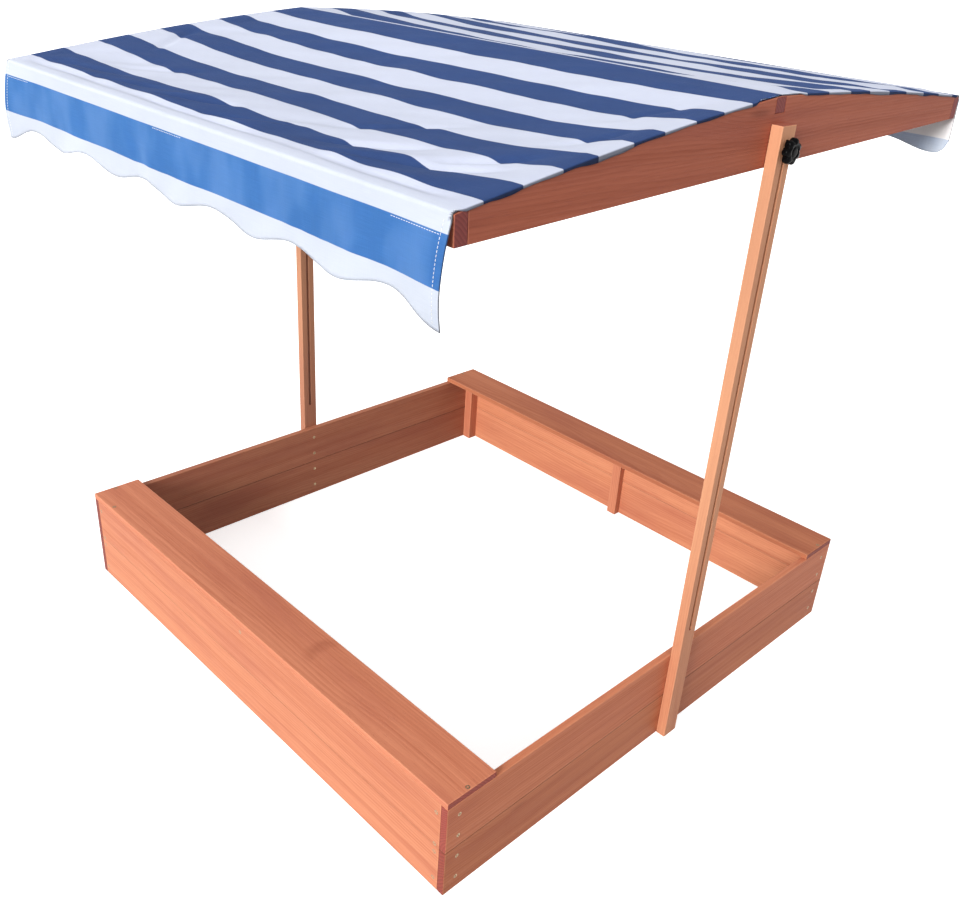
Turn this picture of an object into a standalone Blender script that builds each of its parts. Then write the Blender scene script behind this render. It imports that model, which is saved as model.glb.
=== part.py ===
"""Sandbox with a height-adjustable, tilting fabric roof.

Metres, +Z up. X runs along the ridge, from the left post to the right one. Y runs
across the seats, from the front seat (-Y) to the back seat (+Y). The origin is on
the ground in the middle of the box. The roof is drawn in its rest pose: near the top
of the slots, with its front eave a little low.
"""
import math

import bmesh
import bpy
from mathutils import Matrix, Vector

GAP = 0.0003                      # between two pieces that touch

# Box
BOX_X = 1.180                     # over the outer faces of the side planks
BOX_Y = 1.176                     # over the outer faces of the front and back planks
PLANK_HEIGHT = 0.0965             # two planks are stacked on every side
PLANK_THICK = 0.014
SEAT_WIDTH = 0.105
SEAT_THICK = 0.012
CORNER_CLEAT = 0.026              # square section
MID_CLEAT = (0.026, 0.018)        # along X, along Y
EDGE_ROUND = 0.001                # broken edges of the sawn boards

# Posts
POST_X = 0.0195
POST_Y = 0.037
POST_HEIGHT = 1.166
SLOT_WIDTH = 0.0075
SLOT_BOTTOM = 0.256
SLOT_TOP = 1.146

# Roof, measured from the gable boards' bottom edge
ROOF_HALF = 0.634                 # ridge to the outer face of an eave beam
GABLE_THICK = 0.018
BEAM_THICK = 0.020
CREST_HEIGHT = 0.099              # gable height at the ridge
RIDGE_SLOPE = 0.053               # how fast the gable's top edge falls at the ridge
BOW = 0.069                       # and how it steepens, per metre
BOLT_UP = 0.027                   # clamp bolt above the bottom edge
BAR_WIDTH = 0.025
BAR_DEPTH = 0.023
FABRIC_THICK = 0.002
VALANCE_DROPS = {"front": 0.130, "back": 0.104}
VALANCE_FACE = 0.635              # inner face of a hanging valance, from the ridge

# Clamps
BOLT_RADIUS = 0.003
BOLT_Z = 1.131
ROOF_TILT = math.radians(1.8)
HEAD_RADIUS = 0.0058
HEAD_THICK = 0.0038
WASHER_RADIUS = 0.009
WASHER_THICK = 0.0012
KNOB_RADIUS = 0.020
KNOB_LOBES = 7
KNOB_DEPTH = 0.0145
KNOB_HUB_RADIUS = 0.010
KNOB_HUB_DEPTH = 0.0014
KNOB_BORE_DEPTH = 0.0105

# Screws through the side walls, into the posts and the corner cleats
SCREW_RADIUS = 0.002
SCREW_HEAD_RADIUS = 0.004
SCREW_HEAD_THICK = 0.0015
SCREW_LENGTH = 0.028
SCREW_HEIGHTS = (0.025, 0.073, 0.120, 0.167)
SCREW_SIDES = 10

SHARP_ANGLE = math.radians(40)    # edges sharper than this stay crisp on round pieces
UPPER_PLANK_Z = PLANK_HEIGHT + GAP
WALL_TOP = UPPER_PLANK_Z + PLANK_HEIGHT
INNER_X = BOX_X / 2 - PLANK_THICK
INNER_Y = BOX_Y / 2 - PLANK_THICK
GABLE_FACE = BOX_X / 2 - GAP      # outer face of the gable boards
POST_FACE = BOX_X / 2 + GAP       # inner face of the posts

# name: (colour, roughness, metallic)
FINISHES = {
    "plank": ((0.560, 0.262, 0.148), 0.62, 0.0),
    "seat": ((0.600, 0.285, 0.165), 0.60, 0.0),
    "post": ((0.640, 0.320, 0.185), 0.60, 0.0),
    "cleat": ((0.520, 0.240, 0.135), 0.65, 0.0),
    "roof_wood": ((0.420, 0.150, 0.085), 0.60, 0.0),
    "fabric": ((0.780, 0.800, 0.860), 0.85, 0.0),
    "knob": ((0.012, 0.012, 0.013), 0.38, 0.0),
    "steel": ((0.560, 0.560, 0.550), 0.34, 1.0),
}


# ---------------------------------------------------------------- helpers

def clear_scene():
    for obj in list(bpy.data.objects):
        bpy.data.objects.remove(obj, do_unlink=True)


def make_material(name, finish):
    colour, roughness, metallic = FINISHES[finish]
    material = bpy.data.materials.new(name)
    material.use_nodes = True
    shader = material.node_tree.nodes["Principled BSDF"]
    shader.inputs["Base Color"].default_value = (*colour, 1.0)
    shader.inputs["Roughness"].default_value = roughness
    shader.inputs["Metallic"].default_value = metallic
    material.diffuse_color = (*colour, 1.0)
    return material


def add_object(name, bm, finish=None, location=(0, 0, 0), parent=None, smooth=False):
    """Turn a bmesh into an object, with its outward normals and its own material."""
    bmesh.ops.recalc_face_normals(bm, faces=bm.faces)
    mesh = bpy.data.meshes.new(name)
    bm.to_mesh(mesh)
    bm.free()
    obj = bpy.data.objects.new(name, mesh)
    bpy.context.scene.collection.objects.link(obj)
    obj.location = location
    obj.parent = parent
    if finish:
        mesh.materials.append(make_material(name, finish))
    if smooth:
        mesh.shade_smooth()
        mesh.set_sharp_from_angle(angle=SHARP_ANGLE)
    return obj


def add_empty(name, location, rotation=(0, 0, 0), parent=None):
    empty = bpy.data.objects.new(name, None)
    bpy.context.scene.collection.objects.link(empty)
    empty.location = location
    empty.rotation_euler = rotation
    empty.parent = parent
    return empty


def round_edges(obj, width=EDGE_ROUND):
    bevel = obj.modifiers.new("broken_edges", "BEVEL")
    bevel.width = width
    bevel.segments = 2
    bevel.limit_method = "ANGLE"
    bevel.angle_limit = math.radians(40)


def cut(obj, cutter):
    """Subtract a cutter, which stays in the file as a wire outline."""
    cutter.hide_render = True
    cutter.display_type = "WIRE"
    boolean = obj.modifiers.new("cut_" + cutter.name, "BOOLEAN")
    boolean.operation = "DIFFERENCE"
    boolean.solver = "EXACT"
    boolean.object = cutter


def block(low, high):
    """A bmesh box between two corners."""
    low, high = Vector(low), Vector(high)
    bm = bmesh.new()
    bmesh.ops.create_cube(bm, size=1.0)
    bmesh.ops.scale(bm, vec=high - low, verts=bm.verts)
    bmesh.ops.translate(bm, vec=(low + high) / 2, verts=bm.verts)
    return bm


def add_board(name, finish, low, high, parent=None):
    """A sawn board between two corners, with its origin at its middle."""
    low, high = Vector(low), Vector(high)
    half = (high - low) / 2
    obj = add_object(name, block(-half, half), finish, (low + high) / 2, parent)
    round_edges(obj)
    return obj


def prism(outline, x_low, x_high):
    """Extrude a closed (y, z) outline along X."""
    bm = bmesh.new()
    rim = [bm.verts.new((x_low, y, z)) for y, z in outline]
    face = bm.faces.new(rim)
    extruded = bmesh.ops.extrude_face_region(bm, geom=[face])
    moved = [v for v in extruded["geom"] if isinstance(v, bmesh.types.BMVert)]
    bmesh.ops.translate(bm, vec=(x_high - x_low, 0, 0), verts=moved)
    return bm


def turned(profile, sides, bm=None, height=0.0):
    """Turn an (x, radius) profile about X, at a height; flat faces close both ends."""
    bm = bm or bmesh.new()
    rings = []
    for x, radius in profile:
        angles = [math.tau * (k + 0.5) / sides for k in range(sides)]
        rings.append([bm.verts.new((x, radius * math.cos(a), height + radius * math.sin(a)))
                      for a in angles])
    for ring, following in zip(rings, rings[1:]):
        bridge(bm, ring, following)
    bm.faces.new(rings[0])
    bm.faces.new(rings[-1])
    return bm


def bridge(bm, ring, following):
    count = len(ring)
    for k in range(count):
        after = (k + 1) % count
        bm.faces.new((ring[k], ring[after], following[after], following[k]))


def mirrored_x(bm, side):
    """Flip a shape drawn for the right-hand side (side = 1) to the left (side = -1)."""
    bmesh.ops.transform(bm, matrix=Matrix.Diagonal((side, 1, 1, 1)), verts=bm.verts)
    return bm


# ---------------------------------------------------------------- sandbox

def box_planks():
    """Two stacked planks a side; the front and back ones fit between the side ones."""
    planks = {}
    for level, z in (("lower", 0.0), ("upper", UPPER_PLANK_Z)):
        top = z + PLANK_HEIGHT
        for side, sign in (("left", -1), ("right", 1)):
            inner, outer = sorted((sign * INNER_X, sign * BOX_X / 2))
            name = f"{side}_plank_{level}"
            planks[name] = add_board(name, "plank", (inner, -BOX_Y / 2, z), (outer, BOX_Y / 2, top))
        for side, sign in (("front", -1), ("back", 1)):
            inner, outer = sorted((sign * INNER_Y, sign * BOX_Y / 2))
            end = INNER_X - GAP
            name = f"{side}_plank_{level}"
            planks[name] = add_board(name, "plank", (-end, inner, z), (end, outer, top))
    return planks


def seats():
    """A board over the front and the back wall, flush with the box outside."""
    low = WALL_TOP + GAP
    for side, sign in (("front", -1), ("back", 1)):
        edge = sign * BOX_Y / 2
        inner, outer = sorted((edge, edge - sign * SEAT_WIDTH))
        add_board(f"{side}_seat", "seat",
                  (-BOX_X / 2, inner, low), (BOX_X / 2, outer, low + SEAT_THICK))


def cleats():
    """Upright blocks in the corners and at the middle of the front and back walls."""
    blocks = {}
    reach_x = INNER_X - GAP
    reach_y = INNER_Y - GAP
    for side_y, sign_y in (("front", -1), ("back", 1)):
        for side_x, sign_x in (("left", -1), ("right", 1)):
            xs = sorted((sign_x * reach_x, sign_x * (reach_x - CORNER_CLEAT)))
            ys = sorted((sign_y * reach_y, sign_y * (reach_y - CORNER_CLEAT)))
            blocks[side_y, side_x] = add_board(f"corner_cleat_{side_y}_{side_x}", "cleat",
                                               (xs[0], ys[0], 0), (xs[1], ys[1], WALL_TOP))
        ys = sorted((sign_y * reach_y, sign_y * (reach_y - MID_CLEAT[1])))
        add_board(f"mid_cleat_{side_y}", "cleat",
                  (-MID_CLEAT[0] / 2, ys[0], 0), (MID_CLEAT[0] / 2, ys[1], WALL_TOP))
    return blocks


def post(side, sign):
    """An upright with the slot that its clamp bolt slides in."""
    inner, outer = sorted((sign * POST_FACE, sign * (POST_FACE + POST_X)))
    obj = add_board(f"{side}_post", "post",
                    (inner, -POST_Y / 2, 0), (outer, POST_Y / 2, POST_HEIGHT))
    middle = (POST_FACE + POST_X / 2) * sign
    slot = block((-POST_X, -SLOT_WIDTH / 2, SLOT_BOTTOM), (POST_X, SLOT_WIDTH / 2, SLOT_TOP))
    cut(obj, add_object(f"{side}_slot_cutter", slot, location=(middle, 0, 0)))
    return obj


def screw_profile(grow=0.0):
    """Countersunk screw pointing along +X from the wood's surface at x = 0."""
    head = SCREW_HEAD_RADIUS + grow
    shank = SCREW_RADIUS + grow
    tip = SCREW_LENGTH + grow
    return [(0.0002 - grow, head), (SCREW_HEAD_THICK, head), (SCREW_HEAD_THICK * 2, shank),
            (tip - SCREW_RADIUS, shank), (tip, SCREW_RADIUS / 3)]


def screw_row(name, place, facing, woods):
    """Four screws above each other, driven along X, with one cutter for their holes."""
    holes = bmesh.new()
    for number, z in enumerate(SCREW_HEIGHTS, start=1):
        screw = mirrored_x(turned(screw_profile(), SCREW_SIDES), facing)
        add_object(f"{name}_screw_{number}", screw, "steel", (*place, z), smooth=True)
        turned(screw_profile(GAP), SCREW_SIDES, holes, z)
    cutter = add_object(f"{name}_screw_cutter", mirrored_x(holes, facing), location=(*place, 0))
    for wood in woods:
        cut(wood, cutter)


def wall_screws(side, sign, planks, blocks, post_object):
    """Screws from inside into the post, and from outside into both corner cleats."""
    walls = [planks[f"{side}_plank_lower"], planks[f"{side}_plank_upper"]]
    screw_row(f"{side}_post", (sign * INNER_X, 0), sign, walls + [post_object])
    row_y = INNER_Y - GAP - CORNER_CLEAT / 2
    for end, end_sign in (("front", -1), ("back", 1)):
        screw_row(f"{side}_{end}", (sign * BOX_X / 2, end_sign * row_y), -sign,
                  walls + [blocks[end, side]])


# ---------------------------------------------------------------- roof

def top_edge(y):
    """Height of the roof's wood above the gables' bottom edge, y from the ridge."""
    return CREST_HEIGHT - RIDGE_SLOPE * abs(y) - BOW * y * y


def slope_points(y_from, y_to, lift, count):
    """Points along the top edge, lifted, measured from the clamp bolt."""
    points = []
    for k in range(count + 1):
        y = y_from + (y_to - y_from) * k / count
        points.append((y, top_edge(y) + lift - BOLT_UP))
    return points


def gable(side, sign, pivot):
    """An end board: bowed top edge, a notch for the ridge bar, a hole for the bolt."""
    end = ROOF_HALF - BEAM_THICK - GAP
    notch = BAR_WIDTH / 2 + GAP
    notch_floor = top_edge(0) - BAR_DEPTH - GAP - BOLT_UP
    outline = [(-end, -BOLT_UP), (end, -BOLT_UP)]
    outline += slope_points(end, notch, 0, 10)
    outline += [(notch, notch_floor), (-notch, notch_floor)]
    outline += slope_points(-notch, -end, 0, 10)
    xs = sorted((sign * GABLE_FACE, sign * (GABLE_FACE - GABLE_THICK)))
    obj = add_object(f"{side}_gable", prism(outline, *xs), "roof_wood", parent=pivot)
    round_edges(obj)
    reach = GABLE_THICK
    hole = turned([(-reach, BOLT_RADIUS + GAP), (reach, BOLT_RADIUS + GAP)], 20)
    middle = sign * (GABLE_FACE - GABLE_THICK / 2)
    cut(obj, add_object(f"{side}_gable_cutter", hole, location=(middle, 0, 0), parent=pivot))


def eave_beam(side, sign, pivot):
    """A beam across the ends of both gables, its top cut to the slope of the roof."""
    inner = sign * (ROOF_HALF - BEAM_THICK)
    outer = sign * ROOF_HALF
    outline = [(inner, -BOLT_UP), (outer, -BOLT_UP),
               (outer, top_edge(outer) - BOLT_UP), (inner, top_edge(inner) - BOLT_UP)]
    obj = add_object(f"{side}_eave_beam", prism(outline, -GABLE_FACE, GABLE_FACE),
                     "roof_wood", parent=pivot)
    round_edges(obj)


def ridge_bar(pivot):
    top = top_edge(0) - BOLT_UP
    side = top_edge(BAR_WIDTH / 2) - BOLT_UP
    half = BAR_WIDTH / 2
    outline = [(-half, top - BAR_DEPTH), (half, top - BAR_DEPTH), (half, side), (0, top), (-half, side)]
    obj = add_object("ridge_bar", prism(outline, -GABLE_FACE, GABLE_FACE), "roof_wood", parent=pivot)
    round_edges(obj)


def canopy_top(pivot):
    """The fabric over both slopes, as a thin sheet that lies on the wood."""
    under = slope_points(-ROOF_HALF, ROOF_HALF, GAP, 24)
    over = slope_points(ROOF_HALF, -ROOF_HALF, GAP + FABRIC_THICK, 24)
    add_object("canopy_top", prism(under + over, -GABLE_FACE, GABLE_FACE), "fabric", parent=pivot)


def valance(side, sign, carriage):
    """The fabric that hangs plumb from an eave, outside its beam."""
    eave_up = top_edge(ROOF_HALF) + GAP + FABRIC_THICK - BOLT_UP
    eave_z = sign * ROOF_HALF * math.sin(ROOF_TILT) + eave_up * math.cos(ROOF_TILT)
    ys = sorted((sign * VALANCE_FACE, sign * (VALANCE_FACE + FABRIC_THICK)))
    sheet = block((-GABLE_FACE, ys[0], eave_z - VALANCE_DROPS[side]), (GABLE_FACE, ys[1], eave_z))
    add_object(f"canopy_{side}_valance", sheet, "fabric", parent=carriage)


# ---------------------------------------------------------------- clamps

def washer(name, x_low, carriage):
    """A plain washer round the bolt."""
    outer = turned([(x_low, WASHER_RADIUS), (x_low + WASHER_THICK, WASHER_RADIUS)], 28)
    obj = add_object(name, outer, "steel", parent=carriage, smooth=True)
    bore = BOLT_RADIUS + GAP
    hole = turned([(x_low - WASHER_THICK, bore), (x_low + 2 * WASHER_THICK, bore)], 20)
    cut(obj, add_object(f"{name}_cutter", hole, parent=carriage))


def clamp_bolt(side, sign, carriage):
    """Hexagon head inside the gable; the shank runs out through the slot."""
    head_face = GABLE_FACE - GABLE_THICK - 2 * GAP - WASHER_THICK
    tip = POST_FACE + POST_X + 2 * GAP + WASHER_THICK + KNOB_BORE_DEPTH - 0.001
    head = turned([(head_face - HEAD_THICK, HEAD_RADIUS), (head_face, HEAD_RADIUS)], 6)
    shank = turned([(head_face - HEAD_THICK / 2, BOLT_RADIUS), (tip - 0.0008, BOLT_RADIUS),
                    (tip, BOLT_RADIUS - 0.0008)], 20)
    obj = add_object(f"{side}_clamp_bolt", mirrored_x(head, sign), "steel", parent=carriage,
                     smooth=True)
    shank_object = add_object(f"{side}_bolt_shank", mirrored_x(shank, sign), parent=carriage,
                              smooth=True)
    shank_object.hide_render = True
    shank_object.display_type = "WIRE"
    union = obj.modifiers.new("shank", "BOOLEAN")
    union.operation = "UNION"
    union.solver = "EXACT"
    union.object = shank_object


def knob_ring(bm, x, size, lobed):
    """One ring of the star knob; lobed blends from a circle (0) to the star (1)."""
    sides = KNOB_LOBES * 8
    ring = []
    for k in range(sides):
        angle = math.tau * k / sides
        wave = 0.5 + 0.5 * math.cos(KNOB_LOBES * angle)
        radius = size * (1 - lobed * 0.20 * (1 - wave ** 0.6))
        ring.append(bm.verts.new((x, radius * math.cos(angle), radius * math.sin(angle))))
    return ring


def star_knob(side, sign, carriage):
    """A seven-lobed grip on a round hub, with a blind bore for the bolt's end."""
    start = POST_FACE + POST_X + 2 * GAP + WASHER_THICK
    # depth from the washer, size, how lobed
    rings = [(0.0, KNOB_HUB_RADIUS, 0), (KNOB_HUB_DEPTH, KNOB_HUB_RADIUS, 0),
             (KNOB_HUB_DEPTH + 0.0003, KNOB_RADIUS - 0.0016, 1), (KNOB_HUB_DEPTH + 0.0016, KNOB_RADIUS, 1),
             (KNOB_DEPTH - 0.0035, KNOB_RADIUS, 1), (KNOB_DEPTH - 0.0012, KNOB_RADIUS - 0.0012, 1),
             (KNOB_DEPTH - 0.0004, KNOB_RADIUS - 0.0045, 0.7), (KNOB_DEPTH, KNOB_RADIUS - 0.0090, 0.3)]
    bm = bmesh.new()
    made = [knob_ring(bm, depth, size, lobed) for depth, size, lobed in rings]
    for ring, following in zip(made, made[1:]):
        bridge(bm, ring, following)
    bm.faces.new(made[0])
    bm.faces.new(made[-1])
    centre = (sign * start, 0, 0)
    obj = add_object(f"{side}_star_knob", mirrored_x(bm, sign), "knob", centre, carriage, smooth=True)
    bore = BOLT_RADIUS + GAP
    hole = mirrored_x(turned([(-0.002, bore), (KNOB_BORE_DEPTH, bore)], 20), sign)
    cut(obj, add_object(f"{side}_knob_cutter", hole, location=centre, parent=carriage))


def main():
    clear_scene()
    planks = box_planks()
    seats()
    blocks = cleats()
    carriage = add_empty("roof_carriage", (0, 0, BOLT_Z))
    pivot = add_empty("roof_pivot", (0, 0, 0), (ROOF_TILT, 0, 0), carriage)
    inner_washer_x = GABLE_FACE - GABLE_THICK - GAP - WASHER_THICK
    outer_washer_x = POST_FACE + POST_X + GAP
    for side, sign in (("left", -1), ("right", 1)):
        wall_screws(side, sign, planks, blocks, post(side, sign))
        gable(side, sign, pivot)
        clamp_bolt(side, sign, carriage)
        for place, x in (("inner", inner_washer_x), ("outer", outer_washer_x)):
            x_low = x if sign > 0 else -x - WASHER_THICK
            washer(f"{side}_{place}_washer", x_low, carriage)
        star_knob(side, sign, carriage)
    for side, sign in (("front", -1), ("back", 1)):
        eave_beam(side, sign, pivot)
        valance(side, sign, carriage)
    ridge_bar(pivot)
    canopy_top(pivot)


main()
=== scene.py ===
"""Looks for the sandbox with a fabric roof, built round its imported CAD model.

The wood stays the CAD model's own; it gets solid-texture wood materials. The roof's
fabric, the screws and the star knobs are modelled here.
"""
import math

import bmesh
import bpy
import numpy as np
from mathutils import Matrix, Vector, noise


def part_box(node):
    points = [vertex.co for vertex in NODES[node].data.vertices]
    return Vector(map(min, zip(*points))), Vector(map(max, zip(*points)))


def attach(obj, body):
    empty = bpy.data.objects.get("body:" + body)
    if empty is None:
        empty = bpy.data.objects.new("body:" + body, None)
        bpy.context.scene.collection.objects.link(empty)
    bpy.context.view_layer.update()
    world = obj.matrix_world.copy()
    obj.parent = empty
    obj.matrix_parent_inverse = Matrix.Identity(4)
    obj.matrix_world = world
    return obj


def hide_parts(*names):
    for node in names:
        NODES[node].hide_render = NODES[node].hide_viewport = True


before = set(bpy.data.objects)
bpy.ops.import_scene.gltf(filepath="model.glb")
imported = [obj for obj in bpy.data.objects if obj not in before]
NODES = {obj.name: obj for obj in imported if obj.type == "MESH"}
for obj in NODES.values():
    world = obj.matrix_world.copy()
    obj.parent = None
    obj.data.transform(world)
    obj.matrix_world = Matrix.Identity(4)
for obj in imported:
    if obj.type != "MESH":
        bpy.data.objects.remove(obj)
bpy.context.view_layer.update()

ROOF_BODY = "canopy"

# Camera
CAMERA_PLACE = Vector((1.3614, -1.3635, 1.4073))
CAMERA_AZIMUTH = math.radians(43.98)    # turned left from looking along +Y
CAMERA_ELEVATION = math.radians(28.08)
CAMERA_ROLL = math.radians(4.02)
CAMERA_LENS = 37.32                     # millimetres, on a 36 mm wide sensor

# Light
KEY_FROM = Vector((0.20, -1.08, 0.44))  # direction towards the soft key light
KEY_STRENGTH = 3.7
KEY_SOFTNESS = math.radians(24)
KEY_COLOUR = (1.0, 0.985, 0.965)
GLOW_ABOVE = 0.80
GLOW_BELOW = 0.18
FLOOR_GLOW = 0.62
BACKDROP_GLOW = 1.02                    # the backdrop is seen by the camera only
STAGE_SIZE = 60                         # half width of the floor, in metres
BACKDROP_RADIUS = 58

# Fabric, in metres
STRIPE_PERIOD = 0.1294
STRIPE_WIDTH = 0.0625
STRIPE_START = -0.046                   # middle of the first blue stripe in front of the ridge
CLOTH_THICK = 0.0008
HEM_TIMES = 2.0                         # the hems are folded double
CLOTH_LIFT = 0.0023                     # outer face of the cloth above the wood
EAVE_RADIUS = 0.006
VALANCE_DROP = 0.130
BACK_DROP = 0.104                       # the back valance is shorter
BACK_LOBE = 0.560                       # middle of its last scallop
BACK_CORNER = 0.024                     # size of its rounded corners
SCALLOP_PITCH = 0.1966
SCALLOP_DEPTH = 0.016
CORNER_DROP = 0.011                     # how much longer the front valance is at its corners
SAG = 0.021                             # of the front slope
BACK_SAG = 0.013
BACK_DIP = 0.009                        # a trough just behind the ridge
HEM_FOLD = 0.0018                       # radius of the fold where the hems turn down
HEM_WRAP = 0.0024                       # how far the side hems reach down the gables
# places where they reach further: distance along the cloth, half width, times more
HEM_FLAPS = ((-0.385, 0.045, 1.6), (0.310, 0.050, 0.9), (-0.56, 0.020, 0.8), (0.475, 0.020, 0.6))
POST_CLEARANCE = 0.050                  # no wrap this near the ridge, where the posts slide past
HEM_WIDTH = 0.011                       # of the double cloth along the valances' sides
SCATTER = 0.002                         # how far light spreads inside the cloth
SLOPE_STEPS = 220                       # points in the profile of one slope
BEND_STEPS = 8                          # and steps round the eave


# ---------------------------------------------------------------- small helpers

def smooth(low, high, value):
    """0 below low, 1 above high, and an even turn between them."""
    t = min(max((value - low) / (high - low), 0.0), 1.0)
    return t * t * (3 - 2 * t)


def new_object(name, bm, *materials):
    """Turn a bmesh into an object in the scene."""
    mesh = bpy.data.meshes.new(name)
    bm.to_mesh(mesh)
    bm.free()
    for material in materials:
        mesh.materials.append(material)
    obj = bpy.data.objects.new(name, mesh)
    bpy.context.scene.collection.objects.link(obj)
    return obj


def add_mesh(name, bm, material, body):
    """Turn a bmesh into a smooth piece that rides on a body."""
    bmesh.ops.recalc_face_normals(bm, faces=bm.faces)
    obj = new_object(name, bm, material)
    obj.data.shade_smooth()
    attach(obj, body)
    return obj


def join_rings(bm, rings):
    """Quads between each ring of vertices and the next."""
    for ring, following in zip(rings, rings[1:]):
        for k in range(len(ring)):
            after = (k + 1) % len(ring)
            bm.faces.new((ring[k], ring[after], following[after], following[k]))


class Graph:
    """Adds and links the shader nodes of one material."""

    def __init__(self, name):
        self.material = bpy.data.materials.new(name)
        self.material.use_nodes = True
        self.tree = self.material.node_tree
        self.shader = self.tree.nodes["Principled BSDF"]

    def add(self, kind, inputs=(), **settings):
        node = self.tree.nodes.new(kind)
        for key, value in settings.items():
            setattr(node, key, value)
        for key, value in dict(inputs).items():
            self.set(node.inputs[key], value)
        return node

    def set(self, socket, value):
        if isinstance(value, bpy.types.NodeSocket):
            self.tree.links.new(value, socket)
        else:
            socket.default_value = value

    def math(self, operation, a, b=0.0, c=0.0):
        node = self.add("ShaderNodeMath", {0: a, 1: b, 2: c}, operation=operation)
        return node.outputs[0]

    def span(self, value, low, high, to_low=0.0, to_high=1.0):
        """Smoothly remap low..high to to_low..to_high."""
        node = self.add("ShaderNodeMapRange", {"Value": value, "From Min": low, "From Max": high,
                                               "To Min": to_low, "To Max": to_high},
                        interpolation_type="SMOOTHSTEP")
        return node.outputs["Result"]

    def mix(self, factor, a, b, blend="MIX"):
        node = self.add("ShaderNodeMix", data_type="RGBA", blend_type=blend, clamp_factor=True)
        colours = [s for s in node.inputs if s.type == "RGBA"]
        self.set(node.inputs[0], factor)
        self.set(colours[0], a)
        self.set(colours[1], b)
        return [s for s in node.outputs if s.type == "RGBA"][0]

    def stretch(self, vector, scale, location=(0, 0, 0), rotation=(0, 0, 0)):
        node = self.add("ShaderNodeMapping", {"Vector": vector, "Scale": scale,
                                              "Location": location, "Rotation": rotation})
        return node.outputs["Vector"]

    def noise(self, vector, scale=1.0, detail=2.0, roughness=0.5):
        node = self.add("ShaderNodeTexNoise", {"Vector": vector, "Scale": scale, "Detail": detail,
                                               "Roughness": roughness})
        return node.outputs["Fac"]

    def bump(self, height, strength, distance):
        node = self.add("ShaderNodeBump", {"Height": height, "Strength": strength,
                                           "Distance": distance})
        return node.outputs["Normal"]


def rgb(red, green, blue):
    """A colour given as it looks on screen, from 0 to 255, as Blender's linear one."""
    parts = [c / 255 for c in (red, green, blue)]
    linear = [c / 12.92 if c <= 0.04045 else ((c + 0.055) / 1.055) ** 2.4 for c in parts]
    return (*linear, 1.0)


# ---------------------------------------------------------------- wood

GRAIN_TURN = {"x": (0, 0, 0), "y": (0, 0, -math.pi / 2), "z": (0, math.pi / 2, 0)}
# light, dark and end-grain colour of each finish
WOOD_TONES = {
    "plank_fir": (rgb(208, 136, 103), rgb(178, 103, 75), rgb(152, 75, 66)),
    "seat_fir": (rgb(210, 137, 105), rgb(180, 106, 78), rgb(156, 78, 68)),
    "post_fir": (rgb(206, 143, 108), rgb(178, 112, 84), rgb(160, 90, 72)),
    "cleat_fir": (rgb(204, 132, 100), rgb(176, 102, 76), rgb(152, 78, 66)),
    "roof_fir": (rgb(184, 105, 80), rgb(154, 80, 57), rgb(138, 70, 66)),
}
# how much lighter or darker single boards are, in red, green and blue: partly each board's
# own tone, partly painted light and painted shade for how the light falls on that board
BOARD_PAINTED_LIGHT_AND_TONE = {
    "front_plank": (1.04, 1.07, 1.06),
    "back_plank": (1.07, 1.13, 1.10),
    "right_plank_upper": (1.02, 0.95, 0.90),
    "right_plank_lower": (0.87, 0.80, 0.71),
    "left_plank": (0.76, 0.78, 0.80),
    "front_seat": (1.05, 1.02, 1.00),
    "back_seat": (0.76, 0.70, 0.62),
    "left_post": (0.76, 0.76, 0.84),
}
POST_TOP_PAINTED_LIGHT = rgb(222, 164, 126)        # the posts' upper ends are painted paler: painted light
SEAT_KNOT = Vector((0.162, -0.518, 0.200))
SCAR_BROWN = rgb(138, 66, 44)
KNOT_BROWN = rgb(110, 52, 36)
# the boards' edges are painted lighter: partly wear, partly a painted highlight
EDGE_WEAR_AND_HIGHLIGHT = rgb(236, 176, 138)
PAINTED_SEAM_SHADE = rgb(70, 32, 24)            # painted shade along the joint between two stacked planks
PAINTED_SEAM_STRENGTH = {"x": 0.16, "y": 0.45}  # how strong that painted shade is, by the planks' direction
RING_SPACING = 0.0046
SEAM_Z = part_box("front_plank_lower")[1].z


def edge_distance(graph, point, low, high):
    """Distance from a point on a board's skin to the board's nearest edge."""
    parts = graph.add("ShaderNodeSeparateXYZ", {0: point}).outputs
    depths = []
    for axis in range(3):
        below = graph.math("SUBTRACT", parts[axis], low[axis])
        above = graph.math("SUBTRACT", high[axis], parts[axis])
        depths.append(graph.math("MINIMUM", below, above))
    total = graph.math("ADD", graph.math("ADD", depths[0], depths[1]), depths[2])
    least = graph.math("MINIMUM", graph.math("MINIMUM", depths[0], depths[1]), depths[2])
    most = graph.math("MAXIMUM", graph.math("MAXIMUM", depths[0], depths[1]), depths[2])
    return graph.math("SUBTRACT", graph.math("SUBTRACT", total, least), most)


def seat_knot(graph, point, colour):
    """A dark scar that crosses the seat's fibres in a shallow bow."""
    place = graph.stretch(point, (1, 1, 1), tuple(-SEAT_KNOT))
    x, y, _ = graph.add("ShaderNodeSeparateXYZ", {0: place}).outputs
    bend = graph.math("MULTIPLY_ADD", graph.math("MULTIPLY", y, y), -9.0, x)
    bend = graph.math("SUBTRACT", bend, 0.010)
    bend = graph.math("MULTIPLY_ADD", graph.noise(point, 60.0), 0.020, bend)
    scar = graph.span(graph.math("ABSOLUTE", bend), 0.000, 0.022, 1, 0)
    width = graph.span(graph.math("ABSOLUTE", y), 0.015, 0.052, 1, 0)
    strength = graph.math("MULTIPLY", graph.math("MULTIPLY", scar, width), 0.30)
    return graph.mix(strength, colour, SCAR_BROWN)


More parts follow.
